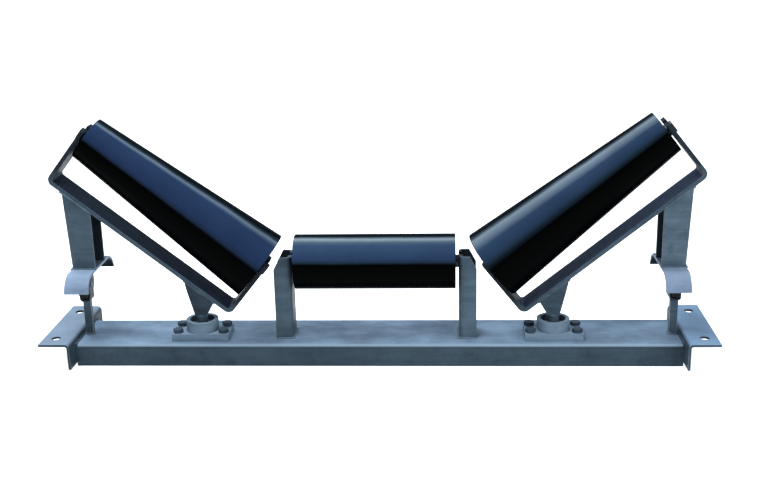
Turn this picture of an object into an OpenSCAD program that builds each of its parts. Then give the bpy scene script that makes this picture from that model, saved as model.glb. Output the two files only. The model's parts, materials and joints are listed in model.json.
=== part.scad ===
// Self-aligning troughing idler set: one straight middle roller between two
// posts, and two tapered wing rollers in brackets that swing on upright pivots.
// X runs across the belt, Y along it, Z up. The origin is under the middle of
// the beam, on the plane that the beam stands on. The front is -Y.

/* [Base beam] */
// Width of the beam, front to back
beam_w = 140; // [130:2:180]
// Height of the beam
beam_h = 46; // [40:1:60]
// Plate thickness of the beam
beam_t = 5; // [4:0.5:7]
// Inside bend radius of the beam
beam_r = 4; // [2:1:6]
// Distance from a support wheel to the end of the beam
beam_margin = 12.5; // [12:0.5:60]

/* [Feet] */
// Length of a foot, front to back
foot_len = 220; // [214:2:300]
// Width of the flat that is bolted down, with the bend
foot_flat = 61; // [52:1:80]
// Height of the leg that is welded to the beam
foot_drop = 53; // [40:1:60]
// Height of the foot above the top of the beam
foot_rise = 15; // [8:1:20]
// Plate thickness of a foot
foot_t = 5; // [4:0.5:8]
// Inside bend radius of a foot
foot_r = 4; // [2:1:6]
// Diameter of the mounting holes
hole_d = 18; // [12:0.5:22]
// Distance between the two holes of a foot
hole_pitch = 150; // [120:2:180]
// Distance from the end of the beam to the holes
hole_inset = 36; // [24:1:40]

/* [Roller line] */
// Distance of the roller line in front of the middle of the beam
line_off = 10; // [0:1:20]

/* [Middle roller] */
// Diameter of the middle roller
mid_d = 108; // [89:1:120]
// Length of the middle roller
mid_len = 315; // [250:5:400]
// Height of its axis above the beam
mid_h = 151; // [130:1:180]

/* [Wing rollers] */
// Angle of the belt surface of a wing roller
trough = 35; // [30:1:38]
// Length of a wing roller
wing_len = 415; // [400:5:440]
// Diameter at the low end
wing_big_d = 144; // [130:1:150]
// Diameter at the high end
wing_small_d = 89; // [86:1:108]
// Distance from the end of the middle roller to the middle of the low end
wing_gap = 71; // [68:1:90]
// Height of the middle of the low end above the beam
wing_h = 144; // [140:0.5:160]

/* [Roller inside] */
// Wall of the roller tubes
tube_t = 4; // [3:0.5:6]
// Shaft diameter
shaft_d = 25; // [22:1:28]
// Width across the two flats at a shaft end
flat_w = 18; // [14:1:20]
// Length of shaft that shows past its bracket
shaft_over = 4; // [2:1:10]
// Outer diameter of a roller bearing
brg_d = 52; // [50:1:58]
// Width of a roller bearing
brg_w = 15; // [12:1:18]
// Depth of the bearing below the end of the roller
brg_depth = 11; // [10:1:16]
// Plate thickness of the bearing cups
cup_t = 3; // [2:0.5:4]

/* [Middle posts] */
// Depth of a post, front to back
post_d = 56; // [44:1:70]
// Width of a post across the beam
post_w = 34.5; // [26:0.5:40]
// Plate thickness of a post
post_t = 5; // [4:0.5:6]
// Height of a post above the roller axis
post_top = 16.5; // [14:0.5:24]
// Gap between the middle roller and a post
post_gap = 6; // [3:0.5:10]
// Width of the cut corner at the top of a post
post_cut_w = 13.5; // [6:0.5:16]
// Height of the cut corner
post_cut_h = 25; // [10:1:30]

/* [Wing brackets] */
// Width of the flat bar
bar_w = 65; // [50:1:70]
// Thickness of the flat bar
bar_t = 8; // [6:0.5:10]
// Inside bend radius of the bar
bar_r = 6; // [4:1:10]
// Distance from the roller axis to the inside of the bar
bar_drop = 102; // [90:1:115]
// Height of an arm above the roller axis
arm_top = 17; // [14:0.5:32]
// Gap between a wing roller and the arms of its bracket
end_gap = 4; // [3:0.5:8]

/* [Pivots] */
// Distance from the low end of a wing roller to the pivot
pivot_off = 119.5; // [112:0.5:128]
// Distance of the pivots in front of the roller line
pivot_fwd = 13; // [0:1:16]
// Width of the housing plate
plate_w = 113; // [112:1:130]
// Depth of the housing plate
plate_d = 64; // [60:1:80]
// Thickness of the housing plate
plate_t = 15; // [10:1:16]
// Outer diameter of the round housing
cup_d = 64; // [62:1:70]
// Height of the round housing above its plate
cup_h = 22; // [20:1:32]
// Wall of the round housing at its rim
rim_wall = 7.5; // [5:0.5:8]
// Distance between the bolts across the beam
bolt_x = 91; // [88:1:94]
// Distance between the bolts along the belt
bolt_y = 39; // [36:1:40]
// Bolt size
bolt_d = 12; // [8:1:12]
// Diameter of the pivot stem in its bearing
stem_d = 20; // [18:1:22]
// Diameter of the pivot stem above its bearing
neck_d = 22; // [22:0.5:28]
// Outer diameter of the pivot bearing
pivot_brg_d = 47; // [45:1:50]
// Width of the pivot bearing
pivot_brg_w = 14; // [12:1:15]
// Depth of the pivot bearing below the rim
pivot_depth = 14; // [12:1:16]

/* [Gussets] */
// Height of a gusset above the rim of the housing
gusset_rise = 9; // [6:1:20]
// Width of a gusset on the stem, both ways
gusset_w = 23; // [22:1:34]
// Height over which a gusset widens to the front and back
gusset_flare = 51; // [30:1:60]
// Angle of its outer edge from upright
gusset_out = 12; // [8:0.5:20]
// Angle of its inner edge from upright
gusset_in = 29.5; // [20:0.5:36]

/* [Legs and saddles] */
// Distance from the pivot to the support wheel
arm = 234.5; // [228:0.5:242]
// Distance from a wheel in to the open edge of its leg
leg_in = 33.5; // [28:1:40]
// Width of a leg across the beam, at its foot
leg_w = 48; // [40:1:52]
// Angle of its outer face from upright
leg_lean = 2.5; // [0:0.1:4]
// Plate thickness of a leg
leg_t = 5; // [4:0.5:6]
// Width of the saddle strip
saddle_w = 48; // [44:1:56]
// Thickness of the saddle strip
saddle_t = 5; // [4:0.5:6]
// Length of the saddle, front to back
saddle_len = 180; // [176:2:188]
// Outside radius of its rounded ends
saddle_r = 38; // [30:1:48]
// Height of the saddle
saddle_h = 32.5; // [28:0.5:40]

/* [Support wheels] */
// Diameter of a wheel
wheel_d = 65; // [60:1:76]
// Width of a wheel
wheel_w = 15; // [12:1:24]
// Thickness of its tyre
tyre_t = 10; // [6:1:12]
// Height of the wheel axle above the beam
axle_h = 109; // [100:0.5:112]
// Diameter of the wheel pin
pin_d = 12; // [10:1:14]
// Thickness of the fork strip
fork_t = 3; // [3:0.5:5]
// Width of the fork strip, front to back
fork_w = 26; // [22:1:30]
// Gap between a wheel and the cheeks of its fork
fork_gap = 0.75; // [0.5:0.05:2]
// Gap under a wheel
yoke_gap = 1.5; // [1:0.5:4]
// Width of the wheel post across the beam
stub_w = 16; // [14:1:24]
// Depth of the wheel post
stub_d = 10; // [8:1:20]

/* [Hidden] */
$fn = 64;

PAINT = [0.36, 0.44, 0.52];
BLACK = [0.05, 0.05, 0.06];
STEEL = [0.72, 0.72, 0.70];
ZINC = [0.55, 0.57, 0.58];
RUBBER = [0.03, 0.03, 0.03];
NYLON = [0.12, 0.12, 0.13];

// Radial clearance of a running fit
run_fit = 0.05;
// Radial clearance of two pieces that are fixed together
seat_fit = 0.02;
// Gap over a wheel, and round the balls of a bearing
roll_gap = 0.3;
// Play of a bolt in its hole
bolt_play = 1;
// Gap where a seal runs in its housing
seal_gap = 1;
// Play of a flat in its slot
slot_play = 0.6;
// Smallest overlap of two blanks that make one section
lap = 0.01;
// A length past every wall that a cut goes through
past = 5;
// A length past the whole part
far = 1000;

// Places across the beam, for the right side
mid_end = mid_len / 2;
post_x = mid_end + post_gap;
wing_x = mid_end + wing_gap;
pivot_x = wing_x + pivot_off;
wheel_x = pivot_x + arm;
leg_x = wheel_x - leg_in;
pivot_y = -line_off - pivot_fwd;
beam_end = wheel_x + beam_margin;
hole_x = beam_end + hole_inset;

// Heights
foot_z = beam_h + foot_rise;
mid_z = beam_h + mid_h;
wing_z = beam_h + wing_h;
rim_z = beam_h + plate_t + cup_h;
gusset_z = rim_z + gusset_rise;
axle_z = beam_h + axle_h;
saddle_z = axle_z + wheel_d / 2 + roll_gap;
fork_z = axle_z - wheel_d / 2 - yoke_gap - fork_t;
fork_out_w = wheel_w + 2 * (fork_gap + fork_t);

// The wing roller's axis is steeper than its belt surface by the half taper
taper = atan((wing_big_d - wing_small_d) / 2 / wing_len);
tilt = trough + taper;

// Pivot bearing, from the rim down
pivot_brg_z = rim_z - pivot_depth - pivot_brg_w;
recess_d = cup_d - 2 * rim_wall;
shoulder_w = 4;
stem_tail = 6;
clip_t = 1.5;
clip_w = 3;
clip_open = 0.2;
pivot_seal_z = 0.5;
pivot_seal_w = 4;

// Bolts of the housings
head_ratio = 0.63;
nut_ratio = 0.85;
hex_ratio = 1.5;
head_h = head_ratio * bolt_d;
nut_h = nut_ratio * bolt_d;
hex_d = hex_ratio * bolt_d / cos(30);
thread_over = 3;

// Pins of the support wheels
pin_head_t = 3;
pin_head_over = 2.5;
pin_tail = 3;

// Ball bearings, as shares of the ring section and of a ball
ball_share = 0.29;
race_share = 0.3;
cage_share = 0.22;
cage_high = 0.8;
ball_room = 0.8;

// Bearing cup, seal and cover of a roller end, measured in from the end
cup_disc_z = 2;
seat_wall = 3.5;
lip_w = 2.5;
lip_in = 6;
cover_z = 3;
cover_t = 1.5;
cover_gap = 4;
seal_z = 5.5;
seal_w = 4;
seal_room = 4;
shoulder_gap = 0.5;

// ---------- Shapes that repeat ----------

// A strip bent to a U: width w, height h, thickness t, inside radius r, open at the top
module bent_u(w, h, t, r) {
    ro = r + t;
    difference() {
        u_blank(w, h, ro);
        translate([0, t]) u_blank(w - 2 * t, h, r);
    }
}

module u_blank(w, h, r) {
    translate([-w / 2, r]) square([w, h - r]);
    translate([-w / 2 + r, 0]) square([w - 2 * r, r + lap]);
    for (s = [-1, 1]) translate([s * (w / 2 - r), r]) circle(r);
}

// A strip bent to an L with its heel at the origin, legs along +x and -y
module bent_l(a, b, t, r) {
    ro = r + t;
    difference() {
        union() {
            translate([ro, -t]) square([a - ro, t]);
            translate([0, -b]) square([t, b - ro]);
            translate([ro, -ro]) circle(ro);
        }
        translate([ro, -ro]) circle(r);
        translate([ro, -b]) square([a, b - t]);
        translate([t, -b]) square([a, b - ro]);
    }
}

// A ring with a square section
module ring(d_in, d_out, h) {
    rotate_extrude() translate([d_in / 2, 0]) square([(d_out - d_in) / 2, h]);
}

// Sizes that a ball bearing takes from its bore and its outer diameter
function ball_d(bore, outer) = ball_share * (outer - bore);
function pitch_r(bore, outer) = (bore + outer) / 4;

// Inner ring of a ball bearing, standing on z = 0
module inner_race(bore, outer, w) {
    b = ball_d(bore, outer);
    p = pitch_r(bore, outer);
    rotate_extrude() difference() {
        translate([bore / 2 + seat_fit, 0]) square([p - race_share * b - bore / 2 - seat_fit, w]);
        translate([p, w / 2]) circle(d = b);
    }
}

// Outer ring of a ball bearing, standing on z = 0
module outer_race(bore, outer, w) {
    b = ball_d(bore, outer);
    p = pitch_r(bore, outer);
    rotate_extrude() difference() {
        translate([p + race_share * b, 0]) square([outer / 2 - seat_fit - p - race_share * b, w]);
        translate([p, w / 2]) circle(d = b);
    }
}

// Balls in their cage, standing on z = 0
module ball_set(bore, outer, w) {
    b = ball_d(bore, outer);
    p = pitch_r(bore, outer);
    count = floor(ball_room * PI * p / b);
    cage_t = cage_share * b;
    cage_h = cage_high * b;
    translate([0, 0, w / 2]) {
        for (i = [0 : count - 1]) rotate([0, 0, i * 360 / count])
            translate([p, 0, 0]) sphere(d = b - roll_gap);
        translate([0, 0, -cage_h / 2]) ring(2 * p - cage_t, 2 * p + cage_t, cage_h);
    }
}

// An open snap ring round a shaft
module snap_ring(d, t) {
    difference() {
        ring(d + 2 * seat_fit, d + 2 * clip_w, t);
        translate([0, -clip_open * d / 2, -past]) cube([d, clip_open * d, t + 2 * past]);
    }
}

// Everything for the left side is the right side mirrored
module side(s) {
    if (s > 0) children();
    else mirror([1, 0, 0]) children();
}

// Frame of the middle roller: z along its axis, from the left end
module at_middle() {
    translate([-mid_end, -line_off, mid_z]) rotate([0, 90, 0]) children();
}

// Frame of the right wing roller: z up its axis from the low end, x towards the bar
module at_wing() {
    translate([wing_x, -line_off, wing_z]) rotate([0, 90 - tilt, 0]) children();
}

// Places its children at both ends of a roller of length l, facing in
module both_ends(l) {
    children();
    translate([0, 0, l]) mirror([0, 0, 1]) children();
}

// Everything above the underside of the wing bracket's bar
module above_bar() {
    at_wing() translate([bar_drop + bar_t - far, -far / 2, -far / 2]) cube([far, far, 2 * far]);
}

// ---------- Rollers ----------

// Radius of a tapered tube's wall at height z
function tube_r(d0, d1, l, z) = (d0 + (d1 - d0) * z / l) / 2;

module tube(d0, d1, l) {
    rotate_extrude() polygon([[d0 / 2 - tube_t, 0], [d0 / 2, 0], [d1 / 2, l], [d1 / 2 - tube_t, l]]);
}

// Pressed cup that centres a bearing in a tube, at the end at z = 0
module end_cup(d0, d1, l) {
    seat_r = brg_d / 2;
    back = brg_depth + brg_w;
    disc_r = min(tube_r(d0, d1, l, cup_disc_z), tube_r(d0, d1, l, cup_disc_z + cup_t)) - tube_t - seat_fit;
    rotate_extrude() {
        translate([seat_r, cup_disc_z]) square([disc_r - seat_r, cup_t]);
        translate([seat_r, cup_disc_z]) square([seat_wall, back + lip_w - cup_disc_z]);
        translate([seat_r - lip_in, back + seat_fit]) square([lip_in + seat_wall, lip_w - seat_fit]);
    }
}

module end_cover() {
    translate([0, 0, cover_z]) ring(shaft_d + 2 * cover_gap, brg_d - 2 * seat_fit, cover_t);
}

module seal_ring() {
    translate([0, 0, seal_z]) ring(shaft_d + 2 * seat_fit, brg_d - 2 * seal_room, seal_w);
}

// Shaft with flats at both ends for a roller of length l, in arms that start at gap from its ends
module roller_shaft(l, gap, arm_t) {
    reach = gap + arm_t + shaft_over;
    flat_len = reach - gap + shoulder_gap;
    difference() {
        translate([0, 0, -reach]) cylinder(d = shaft_d, h = l + 2 * reach);
        both_ends(l) for (s = [-1, 1])
            translate([-shaft_d, s * (flat_w + shaft_d) / 2 - shaft_d / 2, -reach - past])
                cube([2 * shaft_d, shaft_d, flat_len + past]);
    }
}

// Opening for a shaft flat, from the axis up; x points down and z through the wall
module shaft_slot(wall, top) {
    w = flat_w + slot_play;
    translate([-top - past, -w / 2, -past])
        cube([top + past + shaft_d / 2 + slot_play / 2, w, wall + 2 * past]);
}

module roller_inner_rings(l) {
    both_ends(l) translate([0, 0, brg_depth]) inner_race(shaft_d, brg_d, brg_w);
}

module roller_outer_rings(l) {
    both_ends(l) translate([0, 0, brg_depth]) outer_race(shaft_d, brg_d, brg_w);
}

module roller_ball_sets(l) {
    both_ends(l) translate([0, 0, brg_depth]) ball_set(shaft_d, brg_d, brg_w);
}

module roller_clips(l) {
    both_ends(l) translate([0, 0, brg_depth + brg_w + seat_fit]) snap_ring(shaft_d, clip_t);
}

module center_shell() { color(BLACK) at_middle() tube(mid_d, mid_d, mid_len); }
module center_end_cups() { color(BLACK) at_middle() both_ends(mid_len) end_cup(mid_d, mid_d, mid_len); }
module center_end_covers() { color(BLACK) at_middle() both_ends(mid_len) end_cover(); }
module center_outer_rings() { color(STEEL) at_middle() roller_outer_rings(mid_len); }
module center_ball_sets() { color(STEEL) at_middle() roller_ball_sets(mid_len); }
module center_inner_rings() { color(STEEL) at_middle() roller_inner_rings(mid_len); }
module center_retaining_rings() { color(ZINC) at_middle() roller_clips(mid_len); }
module center_seal_rings() { color(NYLON) at_middle() both_ends(mid_len) seal_ring(); }
module center_shaft() { color(STEEL) at_middle() roller_shaft(mid_len, post_gap, post_t); }

module wing_shell(s) { color(BLACK) side(s) at_wing() tube(wing_big_d, wing_small_d, wing_len); }

module wing_end_cups(s) {
    color(BLACK) side(s) at_wing() {
        end_cup(wing_big_d, wing_small_d, wing_len);
        translate([0, 0, wing_len]) mirror([0, 0, 1]) end_cup(wing_small_d, wing_big_d, wing_len);
    }
}

module wing_end_covers(s) { color(BLACK) side(s) at_wing() both_ends(wing_len) end_cover(); }
module wing_outer_rings(s) { color(STEEL) side(s) at_wing() roller_outer_rings(wing_len); }
module wing_ball_sets(s) { color(STEEL) side(s) at_wing() roller_ball_sets(wing_len); }
module wing_inner_rings(s) { color(STEEL) side(s) at_wing() roller_inner_rings(wing_len); }
module wing_shaft(s) { color(STEEL) side(s) at_wing() roller_shaft(wing_len, end_gap, bar_t); }

// ---------- Fixed frame ----------

module at_pivot() { translate([pivot_x, pivot_y, 0]) children(); }

module at_bolts() {
    for (x = [-1, 1], y = [-1, 1]) translate([x * bolt_x / 2, y * bolt_y / 2, 0]) at_pivot() children();
}

module base_channel() {
    color(PAINT) difference() {
        rotate([90, 0, 90]) translate([0, 0, -beam_end]) linear_extrude(2 * beam_end)
            translate([0, beam_h]) mirror([0, 1]) bent_u(beam_w, beam_h, beam_t, beam_r);
        for (s = [-1, 1]) side(s) at_bolts() translate([0, 0, beam_h - beam_t - past])
            cylinder(d = bolt_d + bolt_play, h = beam_t + 2 * past);
    }
}

module foot(s) {
    color(PAINT) side(s) difference() {
        translate([beam_end, foot_len / 2, foot_z]) rotate([90, 0, 0]) linear_extrude(foot_len)
            bent_l(foot_flat, foot_drop, foot_t, foot_r);
        for (y = [-1, 1]) translate([hole_x, y * hole_pitch / 2, foot_z - foot_t - past])
            cylinder(d = hole_d, h = foot_t + 2 * past);
    }
}

module center_post(s) {
    h = mid_h + post_top;
    color(PAINT) side(s) translate([post_x, -line_off, beam_h]) difference() {
        linear_extrude(h) rotate([0, 0, -90]) bent_u(post_d, post_w, post_t, post_t);
        translate([0, post_d, h]) rotate([90, 0, 0]) linear_extrude(2 * post_d)
            polygon([[post_w - post_cut_w, past], [post_w - post_cut_w, 0], [post_w, -post_cut_h],
                     [post_w + past, -post_cut_h], [post_w + past, past]]);
        translate([0, 0, mid_h]) rotate([0, 90, 0]) shaft_slot(post_t, post_top);
    }
}

// Housing with a bearing seat that is open above and below
module pivot_housing(s) {
    color(PAINT) side(s) difference() {
        at_pivot() {
            translate([-plate_w / 2, -plate_d / 2, beam_h]) cube([plate_w, plate_d, plate_t]);
            translate([0, 0, beam_h]) cylinder(d = cup_d, h = plate_t + cup_h);
        }
        at_pivot() {
            translate([0, 0, beam_h - past]) cylinder(d = pivot_brg_d - 2 * shoulder_w, h = rim_z);
            translate([0, 0, pivot_brg_z]) cylinder(d = pivot_brg_d, h = rim_z);
            translate([0, 0, rim_z - pivot_depth]) cylinder(d = recess_d, h = rim_z);
        }
        at_bolts() translate([0, 0, beam_h - past]) cylinder(d = bolt_d + bolt_play, h = plate_t + 2 * past);
    }
}

module housing_bolts() {
    under = plate_t + beam_t + nut_h + thread_over;
    color(ZINC) for (s = [-1, 1]) side(s) at_bolts() translate([0, 0, beam_h + plate_t]) {
        cylinder(d = hex_d, h = head_h, $fn = 6);
        translate([0, 0, -under]) cylinder(d = bolt_d, h = under);
    }
}

module housing_nuts() {
    color(ZINC) for (s = [-1, 1]) side(s) at_bolts() translate([0, 0, beam_h - beam_t - nut_h]) difference() {
        cylinder(d = hex_d, h = nut_h, $fn = 6);
        translate([0, 0, -past]) cylinder(d = bolt_d + 2 * seat_fit, h = nut_h + 2 * past);
    }
}

module pivot_outer_rings() {
    color(STEEL) for (s = [-1, 1]) side(s) at_pivot() translate([0, 0, pivot_brg_z])
        outer_race(stem_d, pivot_brg_d, pivot_brg_w);
}

module wheel_post(s) {
    color(PAINT) side(s) translate([wheel_x - stub_w / 2, -line_off - stub_d / 2, beam_h])
        cube([stub_w, stub_d, fork_z - beam_h]);
}

// A strip bent to a U round the wheel, with round ends and a hole for the pin
module wheel_fork(s) {
    rise = axle_z - fork_z;
    color(PAINT) side(s) translate([wheel_x, -line_off, fork_z]) difference() {
        intersection() {
            translate([0, fork_w / 2, 0]) rotate([90, 0, 0]) linear_extrude(fork_w)
                bent_u(fork_out_w, rise + fork_w, fork_t, fork_t);
            rotate([90, 0, 90]) translate([0, 0, -fork_out_w / 2]) linear_extrude(fork_out_w) {
                translate([-fork_w / 2, 0]) square([fork_w, rise]);
                translate([0, rise]) circle(d = fork_w);
            }
        }
        translate([-fork_out_w, 0, rise]) rotate([0, 90, 0])
            cylinder(d = pin_d + 2 * seat_fit, h = 2 * fork_out_w);
    }
}

module wheel_pins() {
    half = fork_out_w / 2;
    color(STEEL) for (s = [-1, 1]) side(s) translate([wheel_x - half, -line_off, axle_z]) rotate([0, 90, 0]) {
        translate([0, 0, -pin_head_t]) cylinder(d = pin_d + 2 * pin_head_over, h = pin_head_t);
        cylinder(d = pin_d, h = fork_out_w + pin_tail);
    }
}

module wheel_pin_clips() {
    half = fork_out_w / 2;
    color(ZINC) for (s = [-1, 1]) side(s)
        translate([wheel_x + half + seat_fit, -line_off, axle_z]) rotate([0, 90, 0]) snap_ring(pin_d, clip_t);
}

// ---------- Pieces that swing with a wing roller ----------

module bracket(s) {
    span = wing_len + 2 * (end_gap + bar_t);
    outer = bar_drop + bar_t;
    color(PAINT) side(s) at_wing() difference() {
        translate([outer, bar_w / 2, wing_len / 2]) rotate([90, 0, 0]) linear_extrude(bar_w)
            rotate([0, 0, 90]) bent_u(span, outer + arm_top, bar_t, bar_r);
        both_ends(wing_len) translate([0, 0, -end_gap - bar_t]) shaft_slot(bar_t, arm_top);
    }
}

// Channel from the bar down to the saddle, open towards the middle; its outer face leans out
module leg(s) {
    foot_z0 = saddle_z + saddle_t;
    color(PAINT) side(s) difference() {
        translate([leg_x + leg_w, -line_off, foot_z0]) rotate([0, leg_lean, 0]) translate([0, 0, -far / 2])
            linear_extrude(far) rotate([0, 0, 90]) bent_u(bar_w, 2 * leg_w, leg_t, leg_t);
        translate([leg_x - far, -far / 2, -far / 2]) cube([far, far, 2 * far]);
        translate([-far, -far / 2, foot_z0 - far]) cube([3 * far, far, far]);
        above_bar();
    }
}

// Strip bent down at both ends, which rides on the support wheel
module saddle(s) {
    color(PAINT) side(s) translate([leg_x, -line_off, saddle_z + saddle_t - saddle_h])
        rotate([90, 0, 90]) linear_extrude(saddle_w) intersection() {
            translate([0, saddle_h]) mirror([0, 1])
                bent_u(saddle_len, 2 * saddle_r, saddle_t, saddle_r - saddle_t);
            translate([-saddle_len, 0]) square([2 * saddle_len, saddle_h]);
        }
}

// Block between the stem and the bar; its front is flush with the front of the bar
module gusset(s) {
    rise = far / 4;
    w = gusset_w / 2;
    d = bar_w / 2 - pivot_fwd;
    color(PAINT) side(s) difference() {
        at_pivot() translate([0, 0, gusset_z]) intersection() {
            translate([0, far / 2, 0]) rotate([90, 0, 0]) linear_extrude(far)
                polygon([[-w, 0], [w, 0], [w + rise * tan(gusset_out), rise],
                         [-w - rise * tan(gusset_in), rise]]);
            translate([-far / 2, 0, 0]) rotate([90, 0, 90]) linear_extrude(far)
                polygon([[-w, 0], [w, 0], [d, gusset_flare], [d, rise], [-d, rise], [-d, gusset_flare]]);
        }
        above_bar();
    }
}

module stem(s) {
    tail_z = pivot_brg_z - stem_tail;
    neck_z = pivot_brg_z + pivot_brg_w;
    color(STEEL) side(s) at_pivot() {
        translate([0, 0, tail_z]) cylinder(d = stem_d, h = neck_z - tail_z);
        translate([0, 0, neck_z]) cylinder(d = neck_d, h = gusset_z - neck_z);
    }
}

module wing_retaining_rings(s) {
    color(ZINC) side(s) {
        at_wing() roller_clips(wing_len);
        at_pivot() translate([0, 0, pivot_brg_z - seat_fit - clip_t]) snap_ring(stem_d, clip_t);
    }
}

module wing_seal_rings(s) {
    color(NYLON) side(s) {
        at_wing() both_ends(wing_len) seal_ring();
        at_pivot() translate([0, 0, rim_z - pivot_depth + pivot_seal_z])
            ring(neck_d + 2 * seat_fit, recess_d - 2 * seal_gap, pivot_seal_w);
    }
}

module pivot_bearing(s) {
    color(STEEL) side(s) at_pivot() translate([0, 0, pivot_brg_z]) {
        inner_race(stem_d, pivot_brg_d, pivot_brg_w);
        ball_set(stem_d, pivot_brg_d, pivot_brg_w);
    }
}

// ---------- Support wheels ----------

module at_axle() {
    translate([wheel_x - wheel_w / 2, -line_off, axle_z]) rotate([0, 90, 0]) children();
}

module wheel_tyre(s) { color(RUBBER) side(s) at_axle() ring(wheel_d - 2 * tyre_t, wheel_d, wheel_w); }

module wheel_hub(s) {
    color(STEEL) side(s) at_axle() ring(pin_d + 2 * run_fit, wheel_d - 2 * tyre_t - 2 * seat_fit, wheel_w);
}

base_channel();
foot(-1);  // foot_left
foot(1);  // foot_right
center_post(-1);  // center_post_left
center_post(1);  // center_post_right
pivot_housing(-1);  // pivot_housing_left
pivot_housing(1);  // pivot_housing_right
housing_bolts();
housing_nuts();
pivot_outer_rings();
wheel_post(-1);  // wheel_post_left
wheel_post(1);  // wheel_post_right
wheel_fork(-1);  // wheel_fork_left
wheel_fork(1);  // wheel_fork_right
wheel_pins();
wheel_pin_clips();
center_shaft();
center_inner_rings();
center_retaining_rings();
center_seal_rings();
center_shell();
center_end_cups();
center_outer_rings();
center_ball_sets();
center_end_covers();
wing_shell(-1);  // left_shell
wing_end_cups(-1);  // left_end_cups
wing_outer_rings(-1);  // left_outer_rings
wing_ball_sets(-1);  // left_ball_sets
wing_end_covers(-1);  // left_end_covers
wing_shell(1);  // right_shell
wing_end_cups(1);  // right_end_cups
wing_outer_rings(1);  // right_outer_rings
wing_ball_sets(1);  // right_ball_sets
wing_end_covers(1);  // right_end_covers
bracket(-1);  // left_bracket
leg(-1);  // left_leg
saddle(-1);  // left_saddle
gusset(-1);  // left_gusset
stem(-1);  // left_stem
wing_shaft(-1);  // left_shaft
wing_inner_rings(-1);  // left_inner_rings
wing_retaining_rings(-1);  // left_retaining_rings
wing_seal_rings(-1);  // left_seal_rings
pivot_bearing(-1);  // left_pivot_bearing
bracket(1);  // right_bracket
leg(1);  // right_leg
saddle(1);  // right_saddle
gusset(1);  // right_gusset
stem(1);  // right_stem
wing_shaft(1);  // right_shaft
wing_inner_rings(1);  // right_inner_rings
wing_retaining_rings(1);  // right_retaining_rings
wing_seal_rings(1);  // right_seal_rings
pivot_bearing(1);  // right_pivot_bearing
wheel_tyre(-1);  // left_wheel_tyre
wheel_hub(-1);  // left_wheel_hub
wheel_tyre(1);  // right_wheel_tyre
wheel_hub(1);  // right_wheel_hub
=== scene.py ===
"""Troughing idler set: the finish of its painted steel, rollers, wheels and welds.

Metres, in the CAD frame: X across the belt, Y towards the back, Z up.
"""

import json
import math
import random
from typing import NamedTuple

import bmesh
import bpy
from mathutils import Matrix, Vector


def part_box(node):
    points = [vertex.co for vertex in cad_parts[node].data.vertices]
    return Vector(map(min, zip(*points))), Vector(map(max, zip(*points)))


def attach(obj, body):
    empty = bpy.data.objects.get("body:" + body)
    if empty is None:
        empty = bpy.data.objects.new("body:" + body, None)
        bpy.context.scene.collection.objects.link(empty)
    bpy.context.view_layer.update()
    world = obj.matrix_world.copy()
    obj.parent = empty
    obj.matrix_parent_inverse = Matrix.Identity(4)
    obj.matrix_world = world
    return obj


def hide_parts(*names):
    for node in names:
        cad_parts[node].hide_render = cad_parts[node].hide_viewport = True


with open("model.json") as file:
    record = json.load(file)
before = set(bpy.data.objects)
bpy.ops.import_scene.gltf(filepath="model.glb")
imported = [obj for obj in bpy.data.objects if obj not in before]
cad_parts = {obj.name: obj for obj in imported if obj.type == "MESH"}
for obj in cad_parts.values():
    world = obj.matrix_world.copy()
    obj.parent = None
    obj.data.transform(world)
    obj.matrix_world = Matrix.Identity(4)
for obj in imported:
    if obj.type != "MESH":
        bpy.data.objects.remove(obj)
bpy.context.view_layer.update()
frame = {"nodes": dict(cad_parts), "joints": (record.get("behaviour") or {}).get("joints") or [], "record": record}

SIDES = {"left": -1, "right": 1}
FRONT = (0, -1, 0)
BACK = (0, 1, 0)
UP = (0, 0, 1)
DIAGONAL = 0.707

# Camera: place, turn to the side, tilt down, roll, lens, and how far it sees
CAMERA_AT = (0.14188, -2.10123, 0.87225)
CAMERA_YAW = math.radians(3.594)
CAMERA_DOWN = math.radians(16.832)
CAMERA_ROLL = math.radians(-1.363)
CAMERA_LENS = 53.14
CAMERA_SENSOR = 36
CAMERA_SIGHT = 200

# Axis of each wing roller, pointing outward, the direction square to it that faces up, and its middle
RIGHT_SPIN = next(j for j in frame["joints"] if j["name"] == "wing_spin_right")
WING_COSINE, WING_SINE = RIGHT_SPIN["axis"][0], RIGHT_SPIN["axis"][2]
OUTWARD = {side: (k * WING_COSINE, 0, WING_SINE) for side, k in SIDES.items()}
UPWARD = {side: (-k * WING_SINE, 0, WING_COSINE) for side, k in SIDES.items()}
AXIS_LEVEL = Vector(RIGHT_SPIN["pos_m"]).dot(Vector(UPWARD["right"]))
AXIS_MIDDLE = Vector(RIGHT_SPIN["pos_m"]).dot(Vector(OUTWARD["right"]))

# Underside of a wing bracket's bar, below the roller's axis
BAR_UNDER = 0.110

# Rounded edges: how far, on most pieces, on bolts, and on rollers and tyres
EDGE_ROUND = 0.0009
BOLT_ROUND = 0.0007
ROLLER_ROUND = 0.0012

# Edges sharper than this are rounded, faces that meet flatter than this are one, and points this close too
SHARP = math.radians(30)
FLAT = math.radians(0.4)
SAME_PLACE = 1e-6

# Weld beads: radius, pitch of the ripples, step along the bead, sides round it, and its tips' share of
# the radius
BEAD = 0.0026
BEAD_PITCH = 0.0024
BEAD_STEP = 0.0006
BEAD_SIDES = 10
BEAD_TIP = 0.35

# Shares of a bead's radius: its least, its ripples, and slow waves with their radians per metre
BEAD_LEAST = 0.86
BEAD_RIPPLE = 0.16
BEAD_WAVES = ((0.07, 410), (0.05, 970))

# A direction along which no weld runs
SKEW = Vector((0.31, 0.17, 0.93))

# Width of a leg's foot, and how far the welds at a leg's top and a gusset's front stay inside its faces
LEG_WIDTH = 0.048
LEG_TUCK = 0.0005
GUSSET_TUCK = 0.001

# Points round the weld at a stem's neck
NECK_POINTS = 48

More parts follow.
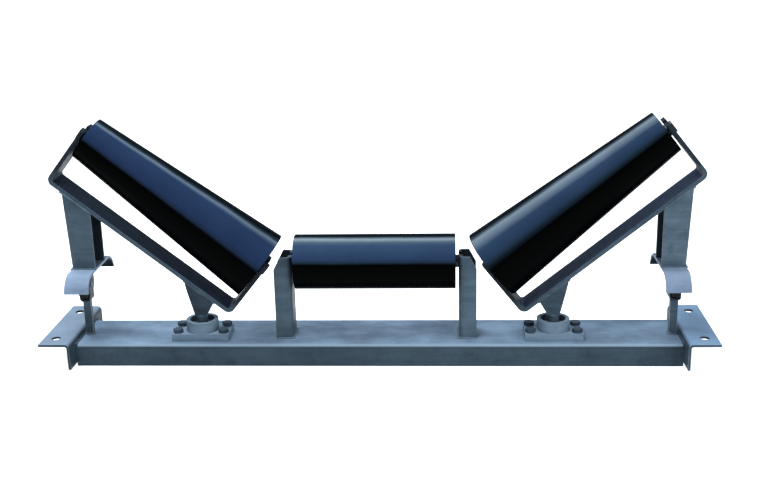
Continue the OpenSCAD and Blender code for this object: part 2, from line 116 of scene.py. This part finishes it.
# Floor: half its width, its tone, and its glow in the rays that see it as white
FLOOR_REACH = 60
FLOOR_TONE = 0.86
FLOOR_GLOW = 0.9


# ---------- Tones, as linear colors ----------


class Tones(NamedTuple):
    """A coat of paint: its main tone, its pale and dark clouds, and the dust with painted light where it looks up.
    """

    base: tuple
    pale: tuple
    dark: tuple
    dust: tuple

    def times(self, share):
        """The same coat, paler or darker."""
        return Tones(*(tuple(share * level for level in tone) for tone in self))


class PaintedShade(NamedTuple):
    """Painted shade laid over paint, in places with a painted reflection, that grows along a unit vector, from
    start until it is full, in metres.

    It lies on surfaces that face one way, or on all of them if facing isn't given.
    """

    color: tuple
    share: float
    way: tuple
    start: float
    full: float
    facing: tuple = None


PAINT_TONES = Tones(
    base=(0.062, 0.092, 0.120),
    pale=(0.092, 0.131, 0.163),
    dark=(0.035, 0.054, 0.071),
    dust=(0.240, 0.335, 0.445),
)
# On a post the tone where it looks up is dark: painted shade under its roller
POST_TONES = PAINT_TONES._replace(dust=(0.040, 0.058, 0.075))
# Darker paint that stands in for shade: painted shade on gussets, wheel forks, the welds at the feet and a
# saddle's top under its leg
SHADE_TONES = Tones(
    base=(0.028, 0.044, 0.060),
    pale=(0.047, 0.069, 0.090),
    dark=(0.013, 0.021, 0.030),
    dust=(0.110, 0.150, 0.195),
)
BEAM_TONES = Tones(
    base=(0.042, 0.066, 0.087),
    pale=(0.058, 0.088, 0.112),
    dark=(0.027, 0.043, 0.058),
    dust=(0.250, 0.350, 0.470),
)
LIGHT_TONES = Tones(
    base=(0.140, 0.202, 0.267),
    pale=(0.188, 0.258, 0.322),
    dark=(0.090, 0.135, 0.180),
    dust=(0.300, 0.405, 0.520),
)
# Saddles are painted paler than the rest: a painted highlight where their bends catch the light
SADDLE_TONES = Tones(
    base=(0.215, 0.288, 0.405),
    pale=(0.275, 0.352, 0.475),
    dark=(0.142, 0.192, 0.270),
    dust=(0.330, 0.420, 0.560),
)
FOOT_TONES = Tones(
    base=(0.030, 0.048, 0.066),
    pale=(0.048, 0.072, 0.092),
    dark=(0.018, 0.029, 0.040),
    dust=(0.225, 0.290, 0.375),
)
# Paint of rounded edges: wear, and a painted highlight where the edges catch the light
EDGE_TONES = Tones(
    base=(0.205, 0.270, 0.330),
    pale=(0.300, 0.370, 0.430),
    dark=(0.100, 0.145, 0.180),
    dust=(0.330, 0.400, 0.480),
)
# Dimmer paint of the rounded edges of bars, legs, gussets and posts: wear, and a painted highlight
DIM_TONES = Tones(
    base=(0.090, 0.125, 0.158),
    pale=(0.150, 0.195, 0.235),
    dark=(0.040, 0.060, 0.078),
    dust=(0.190, 0.245, 0.300),
)
# Bolt paint is dark: the bolts' own paint, darkened further as painted shade round the housing's plate
BOLT_TONES = Tones(
    base=(0.030, 0.049, 0.070),
    pale=(0.058, 0.086, 0.116),
    dark=(0.011, 0.018, 0.026),
    dust=(0.088, 0.122, 0.160),
)
BEAD_TONES = Tones(
    base=(0.085, 0.130, 0.170),
    pale=(0.140, 0.195, 0.240),
    dark=(0.030, 0.048, 0.062),
    dust=(0.200, 0.260, 0.330),
)

# Painted light: how pale each side is painted, for light that falls unevenly on the two sides: feet, posts, legs
# and gussets, then saddles, and the dust and painted light on the feet
SIDE_PAINTED_LIGHT = {"left": 1, "right": 1.35}
SADDLE_PAINTED_LIGHT = {"left": 1.08, "right": 0.86}
FOOT_DUST_AND_LIGHT = {"left": FOOT_TONES.dust, "right": (0.260, 0.395, 0.570)}

# Painted highlight: paler paint along a bend
BEND_HIGHLIGHT = (0.290, 0.385, 0.480)

# Painted shade, near black, in hollows and corners
NEAR_BLACK_SHADE = (0.010, 0.014, 0.018)

# Where that painted shade starts and where it is full: behind a post's front and a leg's front, behind the middle
# of a saddle, up a post's side, and above the roller's axis on a bracket's arms
POST_HOLLOW = (0.006, 0.012)
LEG_HOLLOW = (0.0065, 0.0165)
SADDLE_CURL = (0.030, 0.050)
POST_SIDE = (0.08, 0.24)
ARM_RISE = (-0.112, -0.075)

# Where painted shade darkens a saddle's top between the flanges of its leg, behind the leg's front
UNDER_LEG = (0.0085, 0.0185)

# Painted shade on the side of a wing bracket's bar that faces its roller, with a painted blue reflection of the
# roller: at its inner end and its outer end
BAR_SHADE_AND_REFLECTION = {
    "left": ((0.007, 0.016, 0.070), (0.011, 0.019, 0.030)),
    "right": ((0.060, 0.118, 0.275), (0.044, 0.066, 0.105)),
}

# Where the outer end's painted shade starts and is full, along the axis from the roller's middle
OUTER_BAR_SHADE_REACH = (-0.2, 0.1)

# Painted reflection on the black enamel, by how far a flank faces up: black, blue, a pale painted highlight band,
# and dark along the crest
ENAMEL_REFLECTIONS = {
    "center": (
        (0.17, (0.0003, 0.0005, 0.0005)),
        (0.26, (0.014, 0.028, 0.045)),
        (0.36, (0.021, 0.042, 0.094)),
        (0.79, (0.028, 0.056, 0.108)),
        (0.87, (0.062, 0.092, 0.128)),
        (0.94, (0.200, 0.250, 0.275)),
        (0.965, (0.075, 0.100, 0.118)),
        (0.985, (0.002, 0.004, 0.008)),
    ),
    "left": (
        (0.12, (0.0003, 0.0005, 0.0005)),
        (0.22, (0.012, 0.022, 0.042)),
        (0.32, (0.015, 0.031, 0.078)),
        (0.86, (0.018, 0.037, 0.084)),
        (0.93, (0.110, 0.148, 0.190)),
        (0.96, (0.014, 0.026, 0.036)),
        (0.985, (0.001, 0.003, 0.005)),
    ),
    "right": (
        (0.16, (0.0003, 0.0005, 0.0005)),
        (0.30, (0.009, 0.018, 0.028)),
        (0.42, (0.016, 0.033, 0.066)),
        (0.70, (0.020, 0.042, 0.084)),
        (0.92, (0.160, 0.205, 0.245)),
        (0.96, (0.030, 0.046, 0.058)),
        (0.985, (0.001, 0.003, 0.005)),
    ),
}


# ---------- Materials ----------


class Shader:
    """A material under construction. add() makes a node and fills its sockets with values or links."""

    def __init__(self, name):
        self.material = bpy.data.materials.new(name)
        self.material.use_nodes = True
        self.tree = self.material.node_tree
        self.surface = self.tree.nodes["Principled BSDF"]
        self.place = self.add("TexCoord").outputs["Object"]

    def add(self, kind, values=None, **settings):
        node = self.tree.nodes.new("ShaderNode" + kind)
        for key, value in settings.items():
            setattr(node, key, value)
        self.fill(node, values or {})
        return node

    def fill(self, node, values):
        for socket, value in values.items():
            if isinstance(value, bpy.types.NodeSocket):
                self.tree.links.new(value, node.inputs[socket])
            else:
                node.inputs[socket].default_value = value

    def set(self, **values):
        self.fill(self.surface, {key.replace("_", " "): value for key, value in values.items()})

    def noise(self, scale, detail=4.0, rough=0.55, stretch=(1, 1, 1)):
        place = self.add("Mapping", {"Vector": self.place, "Scale": stretch}).outputs[0]
        made = {"Vector": place, "Scale": scale, "Detail": detail, "Roughness": rough}
        return self.add("TexNoise", made).outputs["Fac"]

    def ramp(self, value, *stops):
        node = self.add("ValToRGB", {"Fac": value})
        while len(node.color_ramp.elements) < len(stops):
            node.color_ramp.elements.new(0.5)
        for element, (at, color) in zip(node.color_ramp.elements, stops):
            element.position = at
            element.color = (*color, 1) if isinstance(color, tuple) else (color, color, color, 1)
        return node.outputs["Color"]

    def mix(self, share, a, b, blend="MIX"):
        node = self.add("Mix", data_type="RGBA", blend_type=blend)
        node.clamp_factor = True
        for socket, value in ((0, share), (6, a), (7, b)):
            if isinstance(value, bpy.types.NodeSocket):
                self.tree.links.new(value, node.inputs[socket])
            else:
                node.inputs[socket].default_value = value if socket == 0 else (*value, 1)
        return node.outputs[2]

    def facing_up(self, low, high):
        normal = self.add("NewGeometry").outputs["Normal"]
        height = self.add("SeparateXYZ", {"Vector": normal}).outputs["Z"]
        return self.ramp(height, (low, 0.0), (high, 1.0))

    def along(self, direction):
        """How far a surface faces along a unit vector."""
        normal = self.add("NewGeometry").outputs["Normal"]
        made = {0: normal, 1: direction}
        return self.add("VectorMath", made, operation="DOT_PRODUCT").outputs["Value"]

    def reach(self, direction, start, end):
        """Goes from 0 to 1 between start and end, in metres along a unit vector."""
        way = self.add("VectorMath", {0: self.place, 1: direction}, operation="DOT_PRODUCT").outputs["Value"]
        return self.add("MapRange", {"Value": way, "From Min": start, "From Max": end}).outputs["Result"]

    def bump(self, *layers):
        """Layers of (height, strength, distance), the first one deepest."""
        normal = None
        for height, strength, distance in layers:
            values = {"Height": height, "Strength": strength, "Distance": distance}
            if normal:
                values["Normal"] = normal
            normal = self.add("Bump", values).outputs["Normal"]
        self.set(Normal=normal)


def painted(name, tones, shine=0.08, cover=0.25, bends=(), painted_shades=()):
    """Brushed blue-grey machinery paint, cloudy, under dust and painted light that cover at least the share cover
    facing up.

    It has a painted highlight on bends, the directions that rounded corners face, and painted shade on top, in
    places with a painted reflection.
    """
    s = Shader(name)
    # Clouds and brush marks
    clouds = s.noise(9, 6, 0.62)
    color = s.ramp(clouds, (0.36, tones.dark), (0.5, tones.base), (0.66, tones.pale))
    drag = s.noise(22, 5, 0.6, (0.35, 1, 3.2))
    color = s.mix(0.5, color, s.ramp(drag, (0.3, tones.dark), (0.72, tones.pale)))
    # Pale grit and patches of soot
    grit = s.noise(420, 3, 0.7)
    color = s.mix(s.ramp(grit, (0.60, 0.0), (0.78, 0.55)), color, tones.pale)
    soot = s.ramp(s.noise(34, 7, 0.68), (0.52, 0.0), (0.70, 0.35))
    color = s.mix(soot, color, tuple(0.45 * level for level in tones.dark))
    # Dust, and painted light that makes what faces up paler
    dust_and_light_share = s.ramp(s.noise(15, 6, 0.6, (0.6, 1, 1)), (0.28, cover), (0.66, 1.0))
    dust_and_light_share = s.mix(1.0, dust_and_light_share, s.facing_up(0.4, 0.95), "MULTIPLY")
    color = s.mix(dust_and_light_share, color, tones.dust)
    # Painted highlight along bends
    for bend in bends:
        color = s.mix(s.ramp(s.along(bend), (0.90, 0.0), (0.985, 0.75)), color, BEND_HIGHLIGHT)
    # Painted shade, a little thinner along the brush marks
    patchy = s.ramp(drag, (0.2, 0.80), (0.6, 1.0))
    for shading in painted_shades:
        grown = s.ramp(s.reach(shading.way, shading.start, shading.full), (0.0, 0.0), (1.0, shading.share))
        shade_mask = s.mix(1.0, grown, patchy, "MULTIPLY")
        if shading.facing:
            shade_mask = s.mix(1.0, shade_mask, s.ramp(s.along(shading.facing), (0.55, 0.0), (0.9, 1.0)), "MULTIPLY")
        color = s.mix(shade_mask, color, shading.color)
    rough = s.ramp(s.noise(48, 5, 0.6), (0.3, 0.36), (0.7, 0.58))
    s.set(Base_Color=color, Roughness=rough, Metallic=0.0, Specular_IOR_Level=shine)
    s.bump((clouds, 0.25, 0.004), (s.noise(260, 4, 0.6), 0.16, 0.0006), (grit, 0.12, 0.0003))
    return s.material


def enamel(name, up, stops):
    """Black roller enamel with a painted reflection: blue on the flanks that face up, along the unit vector up, a
    pale painted highlight band and dark along the crest.
    """
    s = Shader(name)
    rise = s.along(up)
    wave = s.add("Math", {0: s.noise(9, 4, 0.6), 1: 0.05, 2: -0.025}, operation="MULTIPLY_ADD").outputs[0]
    rise = s.add("Math", {0: rise, 1: wave}, operation="ADD").outputs[0]
    # The painted reflection, coloured by how far the flank faces up
    bloom = s.ramp(rise, *stops)
    clouds = s.ramp(s.noise(14, 5, 0.6), (0.3, 0.80), (0.7, 1.0))
    color = s.mix(1.0, bloom, clouds, "MULTIPLY")
    specks = s.ramp(s.noise(900, 2, 0.6), (0.74, 0.0), (0.84, 0.05))
    color = s.mix(specks, color, (0.05, 0.06, 0.075))
    rough = s.ramp(s.noise(26, 6, 0.65), (0.3, 0.28), (0.75, 0.40))
    s.set(Base_Color=color, Roughness=rough, Specular_IOR_Level=0.01)
    s.bump((s.noise(16, 4, 0.5), 0.05, 0.002), (s.noise(700, 3, 0.6), 0.03, 0.0002))
    return s.material


def bare_metal(name, tone, rough, grain=(1, 1, 1), grime=0.35):
    s = Shader(name)
    dirt = s.ramp(s.noise(120, 5, 0.65), (0.42, 0.0), (0.72, grime))
    color = s.mix(dirt, tone, (0.05, 0.045, 0.04))
    marks = s.noise(900, 3, 0.6, grain)
    roughness = s.ramp(marks, (0.3, rough), (0.7, rough + 0.16))
    s.set(Base_Color=color, Metallic=0.9, Roughness=roughness)
    s.bump((marks, 0.12, 0.0002))
    return s.material


def tyre_rubber(name):
    s = Shader(name)
    bloom = s.ramp(s.noise(70, 6, 0.65), (0.35, (0.003, 0.003, 0.004)), (0.75, (0.011, 0.012, 0.014)))
    s.set(Base_Color=bloom, Roughness=0.62, Specular_IOR_Level=0.15)
    s.bump((s.noise(500, 4, 0.6), 0.25, 0.0004))
    return s.material


def dark_plastic(name):
    s = Shader(name)
    color = s.ramp(s.noise(200, 4, 0.6), (0.35, (0.010, 0.010, 0.011)), (0.75, (0.030, 0.030, 0.032)))
    s.set(Base_Color=color, Roughness=0.5)
    s.bump((s.noise(1200, 2, 0.5), 0.1, 0.0001))
    return s.material


PAINT = painted("blue_grey_paint", PAINT_TONES)
SHADE = painted("shaded_paint", SHADE_TONES)
# The beam's front and back bends get a painted highlight
BEAM = painted("beam_paint", BEAM_TONES, bends=((0, -DIAGONAL, DIAGONAL), (0, DIAGONAL, DIAGONAL)))
LIGHT = painted("pale_paint", LIGHT_TONES)
WORN_AND_LIT_EDGE = painted("worn_and_highlighted_paint_edge", EDGE_TONES)
WORN_AND_LIT_BAR_EDGE = painted("worn_and_highlighted_bar_edge", DIM_TONES)
BOLT_PAINT = painted("painted_bolts", BOLT_TONES)
BEAD_PAINT = painted("painted_weld", BEAD_TONES)
STEEL = bare_metal("bright_steel", (0.50, 0.50, 0.49), 0.28, (1, 1, 6))
BLACKENED = bare_metal("blackened_steel", (0.030, 0.034, 0.040), 0.34)
DULLED = bare_metal("dulled_steel", (0.20, 0.21, 0.22), 0.42)
ZINC = bare_metal("zinc_plate", (0.42, 0.44, 0.46), 0.36)
RUBBER = tyre_rubber("tyre_rubber")
NYLON = dark_plastic("dark_nylon")


# ---------- Finishes ----------


class Finish(NamedTuple):
    """A node's look, that of its rounded edges, worn and with a painted highlight, and how far its edges are
    rounded; at 0 the CAD node stays.
    """

    look: bpy.types.Material
    worn_and_lit_edges: bpy.types.Material = None
    rounding: float = EDGE_ROUND


# Nodes that look alike on all sides, by their name without the side
FINISHES = {
    "base_channel": Finish(BEAM, WORN_AND_LIT_EDGE),
    "pivot_housing": Finish(LIGHT, WORN_AND_LIT_EDGE),
    "wheel_post": Finish(PAINT, WORN_AND_LIT_EDGE),
    # The wheel fork's darker paint is painted shade under the saddle
    "wheel_fork": Finish(SHADE),
    "wheel_pins": Finish(PAINT, WORN_AND_LIT_EDGE),
    "wheel_pin_clips": Finish(PAINT, WORN_AND_LIT_EDGE),
    "stem": Finish(PAINT, WORN_AND_LIT_EDGE),
    "housing_bolts": Finish(BOLT_PAINT, rounding=BOLT_ROUND),
    "housing_nuts": Finish(BOLT_PAINT, rounding=BOLT_ROUND),
    "wheel_tyre": Finish(RUBBER, rounding=ROLLER_ROUND),
    "wheel_hub": Finish(DULLED, rounding=0),
    "shaft": Finish(BLACKENED, rounding=0),
    "pivot_bearing": Finish(BLACKENED, rounding=0),
    "pivot_outer_rings": Finish(BLACKENED, rounding=0),
    "inner_rings": Finish(STEEL, rounding=0),
    "outer_rings": Finish(STEEL, rounding=0),
    "ball_sets": Finish(STEEL, rounding=0),
    "retaining_rings": Finish(ZINC, rounding=0),
    "seal_rings": Finish(NYLON, rounding=0),
}


def roller_finishes(end):
    """Finishes of one roller: center, left or right."""
    black = enamel(end + "_enamel", UPWARD.get(end, UP), ENAMEL_REFLECTIONS[end])
    return {
        "shell": Finish(black, rounding=ROLLER_ROUND),
        "end_cups": Finish(black, rounding=0),
        "end_covers": Finish(black, rounding=0),
    }


def beyond(place, depths):
    """A painted shade's start and full distance from a place, as places themselves."""
    return place + depths[0], place + depths[1]


def foot_finish(side):
    # A foot's tops are nearly all covered by dust and painted light
    tones = FOOT_TONES.times(SIDE_PAINTED_LIGHT[side])._replace(dust=FOOT_DUST_AND_LIGHT[side])
    return Finish(painted(side + "_foot_paint", tones, cover=0.75), WORN_AND_LIT_EDGE)


def post_finish(side):
    """A center post has painted shade in its hollow, and towards its top on the side that faces the roller."""
    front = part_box("center_post_" + side)[0].y
    hollow = PaintedShade(NEAR_BLACK_SHADE, 0.95, BACK, *beyond(front, POST_HOLLOW), FRONT)
    beside = PaintedShade(NEAR_BLACK_SHADE, 0.8, UP, *POST_SIDE, (-SIDES[side], 0, 0))
    tones = POST_TONES.times(SIDE_PAINTED_LIGHT[side])
    paint = painted(side + "_post_paint", tones, painted_shades=(hollow, beside))
    return Finish(paint, painted(side + "_post_edge", DIM_TONES, painted_shades=(hollow,)))


def leg_finish(side):
    """A leg has painted shade in its hollow."""
    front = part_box(side + "_leg")[0].y
    hollow = PaintedShade(NEAR_BLACK_SHADE, 0.9, BACK, *beyond(front, LEG_HOLLOW), FRONT)
    tones = PAINT_TONES.times(SIDE_PAINTED_LIGHT[side])
    return Finish(painted(side + "_leg_paint", tones, painted_shades=(hollow,)), WORN_AND_LIT_BAR_EDGE)


def gusset_finish(side):
    # Darker paint as painted shade under the bar, paler on the right side as painted light
    return Finish(painted(side + "_gusset_paint", SHADE_TONES.times(SIDE_PAINTED_LIGHT[side])), WORN_AND_LIT_BAR_EDGE)


def saddle_finish(side):
    """A saddle has painted shade under its leg and inside the curl at its back end."""
    low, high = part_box(side + "_saddle")
    leg_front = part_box(side + "_leg")[0].y
    curl = beyond((low.y + high.y) / 2, SADDLE_CURL)
    under_leg = PaintedShade(SHADE_TONES.base, 0.7, BACK, *beyond(leg_front, UNDER_LEG), UP)
    bent = PaintedShade(NEAR_BLACK_SHADE, 0.95, BACK, *curl, (0, -DIAGONAL, -DIAGONAL))
    inside = PaintedShade(NEAR_BLACK_SHADE, 0.95, BACK, *curl, FRONT)
    tones = SADDLE_TONES.times(SADDLE_PAINTED_LIGHT[side])
    return Finish(painted(side + "_saddle_paint", tones, painted_shades=(under_leg, bent, inside)), WORN_AND_LIT_EDGE)


def bracket_finish(side):
    """A bracket has painted shade, with a painted blue reflection of its roller, on the bar below the roller, and
    painted shade on its arms.
    """
    out, up = OUTWARD[side], UPWARD[side]
    inner_shade_and_reflection, outer_shade_tone = BAR_SHADE_AND_REFLECTION[side]
    # The inner painted shade and reflection is full from the floor up, so on the whole bar, and the outer painted
    # shade grows over it
    inner = PaintedShade(inner_shade_and_reflection, 0.95, UP, -1, 0, up)
    outer = PaintedShade(outer_shade_tone, 0.95, out, *beyond(AXIS_MIDDLE, OUTER_BAR_SHADE_REACH), up)
    arms = PaintedShade(NEAR_BLACK_SHADE, 0.9, up, *beyond(AXIS_LEVEL, ARM_RISE))
    bar = painted(side + "_bar_paint", PAINT_TONES, shine=0.04, painted_shades=(inner, outer, arms))
    return Finish(bar, painted(side + "_bar_edge", DIM_TONES, shine=0.04, painted_shades=(arms,)))


def side_finishes(side):
    """Finishes of the nodes that have their own paint on each side."""
    return {
        "foot": foot_finish(side),
        "center_post": post_finish(side),
        "leg": leg_finish(side),
        "gusset": gusset_finish(side),
        "saddle": saddle_finish(side),
        "bracket": bracket_finish(side),
    }


# ---------- Pieces ----------


SLOT_OF = {part["node"]: part["material_slot"] for part in frame["record"]["subparts"]}
BODY_OF = {
    node: body for body, members in frame["record"]["behaviour"]["bodies"].items() for node in members
}


def add_piece(name, mesh, body, slot, *looks):
    piece = bpy.data.objects.new(name, mesh)
    bpy.context.scene.collection.objects.link(piece)
    piece.data.materials.clear()
    for look in looks:
        piece.data.materials.append(look)
    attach(piece, body)
    return piece


def add_rounded(node, finish):
    """Stands for a CAD node: the same shape with its sharp edges rounded, and given worn paint with a painted
    highlight on them if its finish has that look.
    """
    mesh = frame["nodes"][node].data.copy()
    bm = bmesh.new()
    bm.from_mesh(mesh)
    bmesh.ops.remove_doubles(bm, verts=bm.verts, dist=SAME_PLACE)
    bmesh.ops.dissolve_limit(bm, angle_limit=FLAT, verts=bm.verts, edges=bm.edges)
    for face in bm.faces:
        face.smooth = True
        face.material_index = 0
    bm.to_mesh(mesh)
    bm.free()
    mesh.set_sharp_from_angle(angle=SHARP)
    looks = [look for look in (finish.look, finish.worn_and_lit_edges) if look]
    piece = add_piece(node + "_finish", mesh, BODY_OF[node], SLOT_OF[node], *looks)
    bevel = piece.modifiers.new("edges", "BEVEL")
    bevel.width = finish.rounding
    bevel.segments = 2
    bevel.limit_method = "ANGLE"
    bevel.angle_limit = SHARP
    bevel.harden_normals = True
    bevel.use_clamp_overlap = True
    bevel.material = 1 if finish.worn_and_lit_edges else -1
    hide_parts(node)


def name_and_end(node):
    """A node's name without its side, and the side or roller that it belongs to, if it names one."""
    for end in ("left", "right", "center"):
        if node.startswith(end + "_"):
            return node.removeprefix(end + "_"), end
        if node.endswith("_" + end):
            return node.removesuffix("_" + end), end
    return node, None


def dress_nodes():
    """Gives every CAD node its finish; a rounded piece stands for a node whose edges are rounded."""
    own = {end: roller_finishes(end) for end in ENAMEL_REFLECTIONS}
    for side in SIDES:
        own[side].update(side_finishes(side))
    for node, cad in frame["nodes"].items():
        name, end = name_and_end(node)
        finish = {**FINISHES, **own.get(end, {})}[name]
        if finish.rounding:
            add_rounded(node, finish)
        else:
            cad.data.materials.clear()
            cad.data.materials.append(finish.look)


# ---------- Welds ----------


def resampled(points, closed):
    """Points along a polyline, one bead step apart."""
    ends = list(zip(points, points[1:] + points[:1])) if closed else list(zip(points, points[1:]))
    out = []
    for a, b in ends:
        count = max(1, round((b - a).length / BEAD_STEP))
        out += [a.lerp(b, i / count) for i in range(count)]
    return out if closed else out + [points[-1]]


def bead_ring(bm, at, along, radius):
    """Vertices round one place on a bead."""
    side = along.cross(SKEW).normalized()
    up = side.cross(along)
    turns = [math.tau * k / BEAD_SIDES for k in range(BEAD_SIDES)]
    return [bm.verts.new(at + radius * (math.cos(turn) * side + math.sin(turn) * up)) for turn in turns]


def thickness(way, shifts):
    """Share of a bead's radius at a distance along it."""
    ripple = BEAD_LEAST + BEAD_RIPPLE * abs(math.sin(math.pi * way / BEAD_PITCH))
    swell = 1
    for (share, rate), shift in zip(BEAD_WAVES, shifts):
        swell += share * math.sin(way * rate + shift)
    return ripple * swell


def weld(name, body, points, seed, radius=BEAD, closed=False, look=BEAD_PAINT):
    """A rippled bead along a polyline, centered on the corner that it fills."""
    run = resampled([Vector(p) for p in points], closed)
    rng = random.Random(seed)
    shifts = [rng.uniform(0, math.tau) for _ in BEAD_WAVES]
    bm = bmesh.new()
    rings = []
    last = len(run) - 1
    for i, at in enumerate(run):
        ahead = run[(i + 1) % len(run)] if closed else run[min(i + 1, last)]
        behind = run[i - 1] if closed or i else run[0]
        tip = 1 if closed else min(1, BEAD_TIP + min(i, last - i) * BEAD_STEP / radius)
        thick = radius * thickness(i * BEAD_STEP, shifts) * tip
        rings.append(bead_ring(bm, at, (ahead - behind).normalized(), thick))
    pairs = list(zip(rings, rings[1:])) + ([(rings[-1], rings[0])] if closed else [])
    for a, b in pairs:
        for k in range(BEAD_SIDES):
            n = (k + 1) % BEAD_SIDES
            bm.faces.new((a[k], a[n], b[n], b[k]))
    if not closed:
        bm.faces.new(rings[0])
        bm.faces.new(rings[-1][::-1])
    bmesh.ops.recalc_face_normals(bm, faces=bm.faces)
    for face in bm.faces:
        face.smooth = True
    mesh = bpy.data.meshes.new(name)
    bm.to_mesh(mesh)
    bm.free()
    add_piece(name, mesh, body, "blue_paint", look)


def inner_and_outer(box, k):
    """The X of a box's faces towards and away from the middle, on the side k."""
    return (box[0].x, box[1].x) if k > 0 else (box[1].x, box[0].x)


def round_three_sides(box, near, far):
    """A run from near to far along a box's front face, over to its back face and to near again.

    Both ends are (x, z).
    """
    front, back = box[0].y, box[1].y
    (near_x, near_z), (far_x, far_z) = near, far
    return [(near_x, front, near_z), (far_x, front, far_z), (far_x, back, far_z), (near_x, back, near_z)]


def under_bar(x):
    """A place (x, z) on the line of the underside of a wing bracket's bar."""
    at = Vector(RIGHT_SPIN["pos_m"])
    return x, at.z - BAR_UNDER / WING_COSINE + (abs(x) - at.x) * WING_SINE / WING_COSINE


def weld_frame(side, k):
    """Welds of one side's wheel post, center post and foot to the beam."""
    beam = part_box("base_channel")
    top = beam[1].z
    lo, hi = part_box("wheel_post_" + side)
    run = [(lo.x, lo.y, top), (hi.x, lo.y, top), (hi.x, hi.y, top), (lo.x, hi.y, top)]
    weld(f"weld_wheel_post_{side}", "root", run, seed=3 + k, closed=True)
    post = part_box("center_post_" + side)
    inner, outer = inner_and_outer(post, k)
    run = round_three_sides(post, (outer, top), (inner, top))
    weld(f"weld_center_post_{side}", "root", run, seed=7 + k)
    end = k * beam[1].x
    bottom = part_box("foot_" + side)[0].z
    run = round_three_sides(beam, (end, bottom), (end, top))
    # The weld at a foot takes the darker paint as painted shade between the foot and the beam's end
    weld(f"weld_foot_{side}", "root", run, seed=11 + k, radius=0.003, look=SHADE)


def weld_wing(side, k):
    """Welds of one wing: both ends of its leg, and its gusset to the bar and to the stem."""
    swing = "swing_" + side
    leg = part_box(side + "_leg")
    inner, outer = inner_and_outer(leg, k)
    base = leg[0].z
    run = round_three_sides(leg, (inner, base), (inner + k * LEG_WIDTH, base))
    weld(f"weld_leg_foot_{side}", swing, run, seed=13 + k, radius=0.0022)
    run = round_three_sides(leg, under_bar(inner), under_bar(outer - k * LEG_TUCK))
    weld(f"weld_leg_top_{side}", swing, run, seed=17 + k, radius=0.0022)
    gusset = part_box(side + "_gusset")
    front, back = gusset[0].y + GUSSET_TUCK, gusset[1].y
    (near, near_z), (far, far_z) = (under_bar(x) for x in inner_and_outer(gusset, k))
    run = [(near, front, near_z), (near, back, near_z), (far, back, far_z), (far, front, far_z)]
    weld(f"weld_gusset_{side}", swing, run, seed=19 + k, radius=0.0028)
    lo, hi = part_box(side + "_stem")
    middle = (lo + hi) / 2
    neck = (hi.x - lo.x) / 2
    turns = [math.tau * i / NECK_POINTS for i in range(NECK_POINTS)]
    run = [(middle.x + neck * math.cos(a), middle.y + neck * math.sin(a), gusset[0].z) for a in turns]
    weld(f"weld_stem_{side}", swing, run, seed=23 + k, radius=0.0018, closed=True)


# ---------- Stage ----------


def make_camera():
    data = bpy.data.cameras.new("camera")
    data.lens = CAMERA_LENS
    data.sensor_width = CAMERA_SENSOR
    data.sensor_fit = "HORIZONTAL"
    data.clip_end = CAMERA_SIGHT
    camera = bpy.data.objects.new("camera", data)
    yaw, down, roll = CAMERA_YAW, CAMERA_DOWN, CAMERA_ROLL
    right = Vector((math.cos(yaw), math.sin(yaw), 0))
    ahead = Vector((-math.sin(yaw), math.cos(yaw), 0))
    up = Vector(UP)
    look = ahead * math.cos(down) - up * math.sin(down)
    over = up * math.cos(down) + ahead * math.sin(down)
    side = right * math.cos(roll) + over * math.sin(roll)
    head = over * math.cos(roll) - right * math.sin(roll)
    camera.matrix_world = Matrix.Translation(CAMERA_AT) @ Matrix((side, head, -look)).transposed().to_4x4()
    bpy.context.scene.collection.objects.link(camera)
    bpy.context.scene.camera = camera


def make_floor():
    """A pale floor that the camera, reflections and glass see as white."""
    far = FLOOR_REACH
    corners = [(-far, -far, 0), (far, -far, 0), (far, far, 0), (-far, far, 0)]
    mesh = bpy.data.meshes.new("floor")
    mesh.from_pydata(corners, [], [(0, 1, 2, 3)])
    floor = bpy.data.objects.new("floor", mesh)
    bpy.context.scene.collection.objects.link(floor)
    s = Shader("pale_floor")
    rays = s.add("LightPath").outputs
    seen = s.add("Math", {0: rays["Is Camera Ray"], 1: rays["Is Glossy Ray"]}, operation="MAXIMUM")
    seen = s.add("Math", {0: seen.outputs[0], 1: rays["Is Transmission Ray"]}, operation="MAXIMUM")
    glow = s.add("Math", {0: seen.outputs[0], 1: FLOOR_GLOW}, operation="MULTIPLY")
    s.set(Base_Color=(FLOOR_TONE, FLOOR_TONE, FLOOR_TONE, 1), Roughness=0.9, Specular_IOR_Level=0.0)
    s.set(Emission_Color=(1, 1, 1, 1), Emission_Strength=glow.outputs[0])
    floor.data.materials.append(s.material)


def make_lamp(name, at, target, size, power, color, glossy=True):
    data = bpy.data.lights.new(name, "AREA")
    data.shape = "RECTANGLE"
    data.size, data.size_y = size
    data.energy = power
    data.color = color
    lamp = bpy.data.objects.new(name, data)
    lamp.location = at
    lamp.rotation_euler = (Vector(target) - Vector(at)).to_track_quat("-Z", "Y").to_euler()
    lamp.visible_glossy = glossy
    bpy.context.scene.collection.objects.link(lamp)


def make_light():
    """A wide lamp above, a low one behind, a small one that fills the front, and a pale sky."""
    middle = (0, 0, 0.2)
    make_lamp("top_light", (-0.65, -0.2, 2.3), middle, (3.2, 1.2), 94, (0.86, 0.93, 1.0))
    make_lamp("back_light", (0, 1.6, 2.0), middle, (3.4, 0.6), 26, (0.84, 0.92, 1.0))
    make_lamp("front_light", (1.5, -1.2, 0.55), (0.35, 0, 0.2), (1.0, 0.8), 14, (0.90, 0.96, 1.0), False)
    world = bpy.data.worlds.new("studio")
    bpy.context.scene.world = world
    world.use_nodes = True
    sky = world.node_tree.nodes["Background"]
    sky.inputs["Color"].default_value = (0.82, 0.90, 1.0, 1)
    sky.inputs["Strength"].default_value = 0.22


make_camera()
dress_nodes()
for side, k in SIDES.items():
    weld_frame(side, k)
    weld_wing(side, k)
make_floor()
make_light()
bpy.context.scene.view_settings.view_transform = "Standard"
